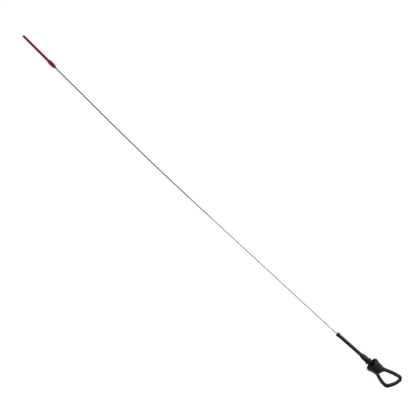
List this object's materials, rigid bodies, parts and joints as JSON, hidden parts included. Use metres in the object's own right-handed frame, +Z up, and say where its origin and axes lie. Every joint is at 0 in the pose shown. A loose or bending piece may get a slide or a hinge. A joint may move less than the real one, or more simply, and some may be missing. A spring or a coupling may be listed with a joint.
{
  "type": "engine oil dipstick",
  "caption": "Engine oil dipstick: finger-loop handle with a bell hood and sealing plug, sleeved stem, slim bowed steel rod and a bulb-guided level tip.",
  "frame": {"origin": "on the stem's axis, in the middle of the plug that seals in the guide tube", "axes": "+X along the stem's axis towards the level tip, +Z up from the floor that the dipstick lies on"},
  "size_m": [0.8011, 0.042, 0.0247],
  "materials": {
    "handle_plastic": "black moulded plastic, fine satin grain",
    "stem_plastic": "black moulded plastic, satin",
    "seal_rubber": "black rubber, matte",
    "rod_steel": "drawn bright wire",
    "tip_plastic": "dark red moulded plastic, satin"
  },
  "bodies": {
    "root": {"handle": "handle_plastic", "plug_stem": "stem_plastic", "seal_ring": "seal_rubber", "rod": "rod_steel", "level_tip": "tip_plastic"}
  },
  "joints": []
}
